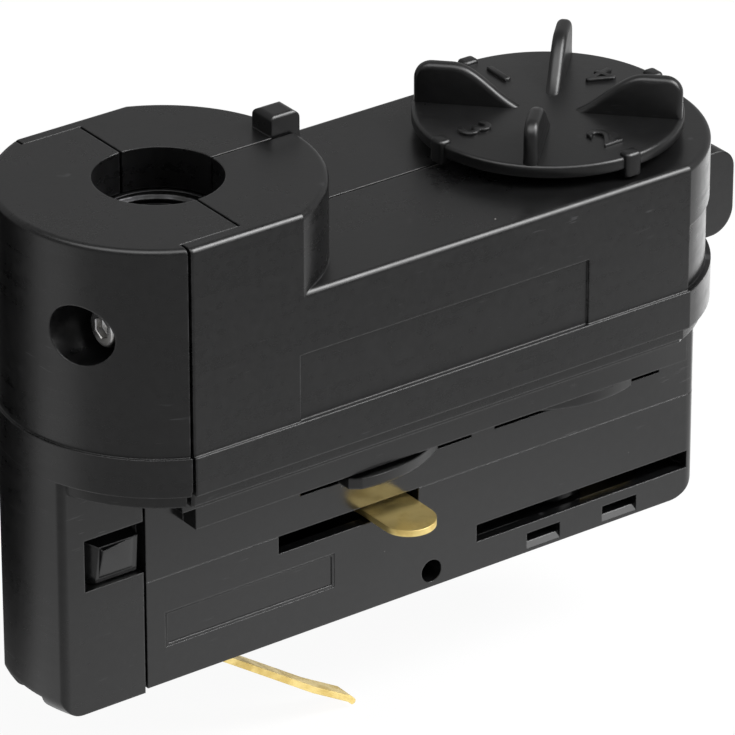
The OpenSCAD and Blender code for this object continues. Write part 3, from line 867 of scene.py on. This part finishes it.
@dataclass
class PhaseSelector(SubAssembly):
    """Dial with rounded fins, index lugs and raised numbers, shaft and phase contact.

    Sizes in mm, turns in degrees.
    """

    nodes: tuple[str, ...] = ("dial_shaft", "phase_rotor", "phase_blade", "rotor_collar")
    fins: tuple[float, ...] = (45.0, 135.0, 225.0, 315.0)
    lugs: tuple[float, ...] = (0.0, 90.0, 180.0, 270.0)
    places: tuple[tuple[str, float], ...] = (("1", 176.0), ("2", 0.0), ("3", -90.0), ("4", 105.0))
    disc_r: float = 13.8
    disc_thick: float = 1.4
    disc_round: float = 0.35
    rim_steps: int = 12
    shaft_r: float = 2.52
    shaft_deep: float = 0.9
    fin_high: float = 4.3
    fin_thick: float = 1.5
    fin_round: float = 0.6
    fin_steps: tuple[int, int] = (7, 6)
    fin_inner: float = 1.7
    fin_setback: float = 0.15
    fin_sink: float = 1.15
    fin_edge: Pair = (0.6, 1.6)
    fin_corner: float = 1.8
    corner_steps: int = 10
    slope_start: float = 9.8
    slope_long: float = 8.0
    slope_dip: float = 0.35
    slope_steps: int = 24
    lug_half: float = 0.95
    lug_in: float = 1.1
    lug_out: float = 0.4
    lug_rise: float = 0.4
    lug_round: float = 0.38
    lug_spare: float = 0.05
    lug_ease: float = 0.12
    lug_steps: int = 5
    number_radius: float = 9.3
    number_high: float = 3.4
    number_share: float = 0.7
    number_rise: float = 0.3
    number_bevel: float = 0.05
    number_bold: float = 0.03
    number_steps: int = 4
    steps: int = 144

    def build(self) -> None:
        """Dress the shaft and the contact and build the dial."""
        super().build()
        self.build_disc()
        for number, turn in enumerate(self.fins, 1):
            self.build_fin(f"dial_fin_{number}", turn)
        for number, turn in enumerate(self.lugs, 1):
            self.build_lug(f"dial_lug_{number}", turn)
        for number, turn in self.places:
            self.build_number(number, turn)

    def top(self) -> float:
        """Height of the disc's upper face."""
        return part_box("selector_dial")[1].z / MM - self.fin_high

    def seat(self, turn: float) -> Matrix:
        """Placing of a shape in metres that is drawn along +X from the axis at the disc's top.

        Args:
            turn: its place about the axis in degrees.

        Returns:
            The placing in the part's frame.
        """
        low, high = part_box("dial_shaft")
        middle = (low + high) / 2
        shift = Matrix.Translation((middle.x, middle.y, self.top() * MM))
        return shift @ Matrix.Rotation(math.radians(turn), 4, "Z")

    def mould(self, name: str, rings: Sequence[Sequence[Point]], turn: float,
              stands_for: str | None = None) -> None:
        """Close rings into a piece of the dial and turn it to its place.

        Args:
            name: the piece's name.
            rings: rings in metres, drawn along +X from the axis at the disc's top.
            turn: the piece's place about the axis in degrees.
            stands_for: the CAD node that it replaces, if any.
        """
        shape = ring_lattice(rings, False)
        shape.transform(self.seat(turn))
        self.shop.piece(name, shape, Slot.DIAL, Body.SELECTOR, stands_for)

    def build_disc(self) -> None:
        """Build the disc with rounded rims and a blind hole for the shaft."""
        low = -self.disc_thick
        hole_top = low + self.shaft_deep
        rows = [(NEAR_AXIS, hole_top), (self.shaft_r, hole_top), (self.shaft_r, low)]
        centre = self.disc_r - self.disc_round
        for i in range(self.rim_steps + 1):
            lean = math.pi * (i / self.rim_steps - 0.5)
            middle = low + self.disc_round if 2 * i < self.rim_steps else -self.disc_round
            rows.append((centre + self.disc_round * math.cos(lean),
                         middle + self.disc_round * math.sin(lean)))
        rings = [[(radius * math.cos(turn) * MM, radius * math.sin(turn) * MM, z * MM)
                  for turn in ring_angles(self.steps)] for radius, z in rows]
        self.mould("dial_disc", rings, 0.0, "selector_dial")

    def fin_side(self) -> list[Pair]:
        """Side view of a fin: a rounded outer corner, a level top and an S curve down to the middle.

        Returns:
            Distance from the axis and height of each point.
        """
        outer = self.disc_r - self.fin_setback
        centre = (outer - self.fin_corner, self.fin_high - self.fin_corner)
        loop = [(self.fin_inner, -self.fin_sink), (outer, -self.fin_sink)]
        loop.extend((outer, height) for height in self.fin_edge)
        for i in range(self.corner_steps + 1):
            lean = QUARTER * i / self.corner_steps
            loop.append((centre[0] + self.fin_corner * math.cos(lean),
                         centre[1] + self.fin_corner * math.sin(lean)))
        for i in range(self.slope_steps + 1):
            share = i / self.slope_steps
            height = self.fin_high * (1 + math.cos(math.pi * share)) / 2 - self.slope_dip * share ** 4
            loop.append((self.slope_start - self.slope_long * share, height))
        return loop

    def build_fin(self, name: str, turn: float) -> None:
        """Build a grip fin with rounded edges.

        Args:
            name: the piece's name.
            turn: the fin's place about the axis in degrees.
        """
        half = self.fin_thick / 2
        side = self.fin_side()
        first, last = self.fin_steps
        slices = [(-1, 1 - i / first) for i in range(first + 1)] + [(1, i / last) for i in range(last + 1)]
        rings = []
        for sign, share in slices:
            lean = QUARTER * share
            depth = half - self.fin_round * (1 - math.sin(lean))
            loop = inset_loop(side, self.fin_round * (1 - math.cos(lean)))
            rings.append([(u * MM, sign * depth * MM, z * MM) for u, z in loop])
        self.mould(name, rings, turn)

    def build_lug(self, name: str, turn: float) -> None:
        """Build an index lug on the rim, rounded on top and at its corners.

        Args:
            name: the piece's name.
            turn: the lug's place about the axis in degrees.
        """
        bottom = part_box("selector_dial")[0].z / MM - self.top()
        rows = [(bottom, self.lug_ease), (bottom + self.lug_ease, 0.0)]
        for i in range(self.lug_steps + 1):
            lean = QUARTER * i / self.lug_steps
            rows.append((self.lug_rise - self.lug_round * (1 - math.sin(lean)),
                         self.lug_round * (1 - math.cos(lean))))
        rings = [[(u * MM, v * MM, z * MM) for u, v in inset_loop(self.lug_plan(), inset)]
                 for z, inset in rows]
        self.mould(name, rings, turn)

    def lug_plan(self) -> list[Pair]:
        """Plan of an index lug: a rectangle with rounded corners.

        Returns:
            The points in anticlockwise order.
        """
        inner, outer = self.disc_r - self.lug_in, self.disc_r + self.lug_out
        radius = self.lug_round + self.lug_spare
        loop = []
        for u, v, start in ((outer, 1, 0), (inner, 1, 1), (inner, -1, 2), (outer, -1, 3)):
            centre = (u - math.copysign(radius, u - self.disc_r), v * (self.lug_half - radius))
            for i in range(self.lug_steps + 1):
                lean = QUARTER * (start + i / self.lug_steps)
                loop.append((centre[0] + radius * math.cos(lean), centre[1] + radius * math.sin(lean)))
        return loop

    def build_number(self, number: str, turn: float) -> None:
        """Build one raised number on the dial.

        Args:
            number: the digit.
            turn: its place about the dial axis in degrees, from the front side.
        """
        curve = bpy.data.curves.new("number", "FONT")
        curve.body = number
        curve.size = self.number_high * MM / self.number_share
        curve.align_x = "CENTER"
        curve.align_y = "CENTER"
        curve.extrude = self.number_rise * MM
        curve.bevel_depth = self.number_bevel * MM
        curve.bevel_resolution = 1
        curve.resolution_u = self.number_steps
        curve.offset = self.number_bold * MM
        text = bpy.data.objects.new("number", curve)
        bpy.context.scene.collection.objects.link(text)
        bpy.context.view_layer.update()
        data = bpy.data.meshes.new_from_object(text.evaluated_get(bpy.context.evaluated_depsgraph_get()))
        bpy.data.objects.remove(text)
        data.transform(self.seat(turn) @ Matrix.Translation((0, -self.number_radius * MM, 0)))
        shape = bmesh.new()
        shape.from_mesh(data)
        bmesh.ops.remove_doubles(shape, verts=shape.verts, dist=WELD)
        bpy.data.meshes.remove(data)
        self.shop.piece("dial_number_" + number, shape, Slot.DIAL, Body.SELECTOR)


@dataclass
class LockingTrain(SubAssembly):
    """Lever, cams, slider, neutral spindle and tongue."""

    nodes: tuple[str, ...] = ("locking_lever", "lever_cam", "link_slider", "neutral_spindle", "neutral_cam",
                              "neutral_tongue", "neutral_collar")


@dataclass
class EarthContact(SubAssembly):
    """Earth strip, rivet and sprung leaf."""

    nodes: tuple[str, ...] = ("earth_strip", "earth_rivet", "earth_leaf")


@dataclass
class Wiring(SubAssembly):
    """Terminal blocks and their clamp screws."""

    nodes: tuple[str, ...] = ("phase_terminal", "neutral_terminal", "earth_terminal", "phase_screw",
                              "neutral_screw", "earth_screw")


@dataclass(frozen=True)
class Softbox:
    """A square light that hangs in a direction from the part. Distances in metres, power in watts."""

    name: str
    direction: Point
    distance: float
    width: float
    power: float

    def hang(self, target: Vector) -> None:
        """Hang the light and turn it to the part.

        Args:
            target: the point that it shines at.
        """
        lamp = bpy.data.lights.new(self.name, "AREA")
        lamp.size = self.width
        lamp.energy = self.power
        made = bpy.data.objects.new(self.name, lamp)
        bpy.context.scene.collection.objects.link(made)
        way = Vector(self.direction).normalized()
        made.location = target + way * self.distance
        made.rotation_euler = way.to_track_quat("Z", "Y").to_euler()
        made.visible_camera = False


@dataclass(frozen=True)
class FloorGlow:
    """A soft patch of light that lies on the floor and shows in glossy surfaces. Lengths in mm."""

    place: Pair
    core: float
    reach: float
    level: float
    stretch: float = 1.0

    def light(self, paint: Paint) -> Value:
        """The patch's light over the floor.

        Args:
            paint: the floor's node tree.

        Returns:
            The light, from level in the core to 0 at the reach.
        """
        where = paint.place((self.stretch, 1.0, FLATTEN))
        centre = (self.place[0] / self.stretch, self.place[1], 0.0)
        distance = paint.node("ShaderNodeVectorMath", {"operation": "DISTANCE"}, {0: where, 1: centre})
        return self.level * (1 - Value(paint, distance.outputs["Value"]).step(self.core, self.reach))


@dataclass(frozen=True)
class FloorRay:
    """A strip of light or shade that runs out over the floor from the stem axis. Angles in degrees."""

    turn: float
    core: float
    reach: float
    level: float

    def light(self, paint: Paint) -> Value:
        """The strip's light over the floor.

        Args:
            paint: the floor's node tree.

        Returns:
            The light, from level in the core to 0 at the reach.
        """
        where = paint.place((1.0, 1.0, FLATTEN))
        way = paint.node("ShaderNodeVectorMath", {"operation": "NORMALIZE"}, {0: where}).outputs[0]
        turn = math.radians(self.turn)
        along = paint.dot(way, (math.cos(turn), math.sin(turn), 0.0))
        return self.level * along.step(math.cos(math.radians(self.reach)), math.cos(math.radians(self.core)))


@dataclass
class Studio:
    """Camera, key light, world and floor. Angles in degrees, lengths in mm.

    A field that ends in rise holds the levels between which a light of the tent grows.
    """

    azimuth: float = 36.07
    elevation: float = 27.49
    distance: float = 655.5
    target: Point = (25.0, 0.0, -28.55)
    lens: float = 319.15
    sensor: float = 36.0
    near: float = 10.0
    key: Softbox = Softbox("key_light", direction=(0.52, -0.46, 0.72), distance=0.9, width=0.45, power=7.5)
    ambient: float = 0.35
    tent_level: float = 0.325
    back_level: float = 0.04
    back_rise: Pair = (0.3, 0.9)
    top_level: float = 3.4
    top_rise: Pair = (0.6, 0.8)
    top_front_rise: Pair = (-0.15, 0.25)
    front_way: Point = (0.52, -0.72, 0.46)
    front_level: float = 3.6
    front_rise: Pair = (0.92, 0.98)
    floor_gap: float = 0.4
    floor_half: float = 1500.0
    floor_paper: Colour = (0.8, 0.8, 0.8)
    floor_veil: Colour = (0.09, 0.09, 0.09)
    floor_white: float = 0.93
    floor_light: float = 0.47
    floor_peak: float = 2.0
    glows: tuple[FloorGlow | FloorRay, ...] = (
        FloorGlow((52.0, -15.0), core=10.0, reach=95.0, level=0.75, stretch=1.4),
        FloorGlow((125.0, -62.0), core=12.0, reach=45.0, level=0.65),
        FloorGlow((140.0, 42.0), core=25.0, reach=65.0, level=1.45),
        FloorGlow((50.0, 105.0), core=40.0, reach=115.0, level=0.6, stretch=0.6),
        FloorRay(165.0, core=6.0, reach=22.0, level=0.38),
        FloorRay(103.0, core=22.0, reach=55.0, level=-0.47),
    )

    def build(self) -> None:
        """Set up the camera, the key light, the world and the floor."""
        target = Vector(self.target) * MM
        self.place_camera(target)
        self.key.hang(target)
        self.fill_world()
        self.lay_floor()
        bpy.context.scene.view_settings.view_transform = "Standard"

    def place_camera(self, target: Vector) -> None:
        """Place the camera at the photograph's angle.

        Args:
            target: the point in the middle of the view.
        """
        turn = math.radians(self.azimuth)
        rise = math.radians(self.elevation)
        way = Vector((-math.sin(turn) * math.cos(rise), -math.cos(turn) * math.cos(rise), math.sin(rise)))
        lens = bpy.data.cameras.new("photo_camera")
        lens.lens = self.lens
        lens.sensor_width = self.sensor
        lens.clip_start = self.near * MM
        made = bpy.data.objects.new("photo_camera", lens)
        bpy.context.scene.collection.objects.link(made)
        made.location = target + way * self.distance * MM
        made.rotation_euler = way.to_track_quat("Z", "Y").to_euler()
        bpy.context.scene.camera = made

    def fill_world(self) -> None:
        """Fill the world: white to the eye, a soft tent of light for the part."""
        world = bpy.data.worlds.new("white_tent")
        paint = Paint(world)
        way = paint.node("ShaderNodeTexCoord").outputs["Generated"]
        turn = math.radians(self.azimuth)
        up = paint.dot(way, UP)
        back = paint.dot(way, (math.sin(turn), math.cos(turn), 0.0))
        front = paint.dot(way, self.front_way)
        tent = (self.tent_level + self.back_level * back.step(*self.back_rise)
                + self.top_level * up.step(*self.top_rise) * (0 - back).step(*self.top_front_rise)
                + self.front_level * front.step(*self.front_rise))
        path = paint.node("ShaderNodeLightPath")
        glossy, camera, through = (Value(paint, path.outputs[f"Is {kind} Ray"])
                                   for kind in ("Glossy", "Camera", "Transmission"))
        seen = camera.most(through)
        light = self.ambient + glossy * (tent - self.ambient)
        strength = light + seen * (1 - light)
        sky = paint.node("ShaderNodeBackground", None, {"Color": WHITE, "Strength": strength})
        paint.node("ShaderNodeOutputWorld", None, {"Surface": sky.outputs[0]})
        world.cycles.sampling_method = "NONE"
        bpy.context.scene.world = world

    def lay_floor(self) -> None:
        """Lay a white floor just under the lowest point of the part."""
        low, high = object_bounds()
        middle = (Vector(low) + Vector(high)) / 2
        height = low[2] - self.floor_gap * MM
        half = self.floor_half * MM
        data = bpy.data.meshes.new("floor")
        data.from_pydata([(middle.x + x * half, middle.y + y * half, height) for x, y in CORNERS], [],
                         [(0, 1, 2, 3)])
        data.materials.append(self.floor_material())
        floor = bpy.data.objects.new("floor", data)
        bpy.context.scene.collection.objects.link(floor)
        floor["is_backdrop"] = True

    def floor_material(self) -> bpy.types.Material:
        """Build the floor's material: white to the eye, lit in patches for gloss, clear from below.

        Returns:
            The new material.
        """
        made = bpy.data.materials.new("floor_white")
        paint = Paint(made)
        path = paint.node("ShaderNodeLightPath")
        paper = paint.node("ShaderNodeBsdfDiffuse", None, {"Color": self.floor_paper})
        veil = paint.node("ShaderNodeBsdfDiffuse", None, {"Color": self.floor_veil})
        white = paint.node("ShaderNodeEmission", None, {"Color": WHITE, "Strength": self.floor_white})
        shown = paint.node("ShaderNodeAddShader", None, {0: veil.outputs[0], 1: white.outputs[0]})
        dark = paint.node("ShaderNodeEmission", None, {"Color": BLACK})
        bright = paint.node("ShaderNodeEmission", None, {"Color": WHITE, "Strength": self.floor_peak})
        first, *others = (glow.light(paint) for glow in self.glows)
        light = sum(others, first) + self.floor_light
        lit = paint.mix(light * (1 / self.floor_peak), dark, bright)
        both = paint.mix(path.outputs["Is Glossy Ray"], paper, lit)
        both = paint.mix(path.outputs["Is Camera Ray"], both, shown)
        clear = paint.node("ShaderNodeBsdfTransparent")
        under = paint.node("ShaderNodeNewGeometry").outputs["Backfacing"]
        both = paint.mix(under, both, clear)
        paint.node("ShaderNodeOutputMaterial", None, {"Surface": both.outputs[0]})
        made.cycles.emission_sampling = "NONE"
        return made


def main() -> None:
    """Build every sub-assembly and the studio."""
    logging.basicConfig(level=logging.INFO, format="%(name)s: %(message)s")
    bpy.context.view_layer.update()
    shop = Workshop(FINISHES)
    for group in (Housing, TrackInsert, PhaseSelector, LockingTrain, EarthContact, Wiring):
        group(shop).build()
    Studio().build()


if __name__ == "__main__":
    main()
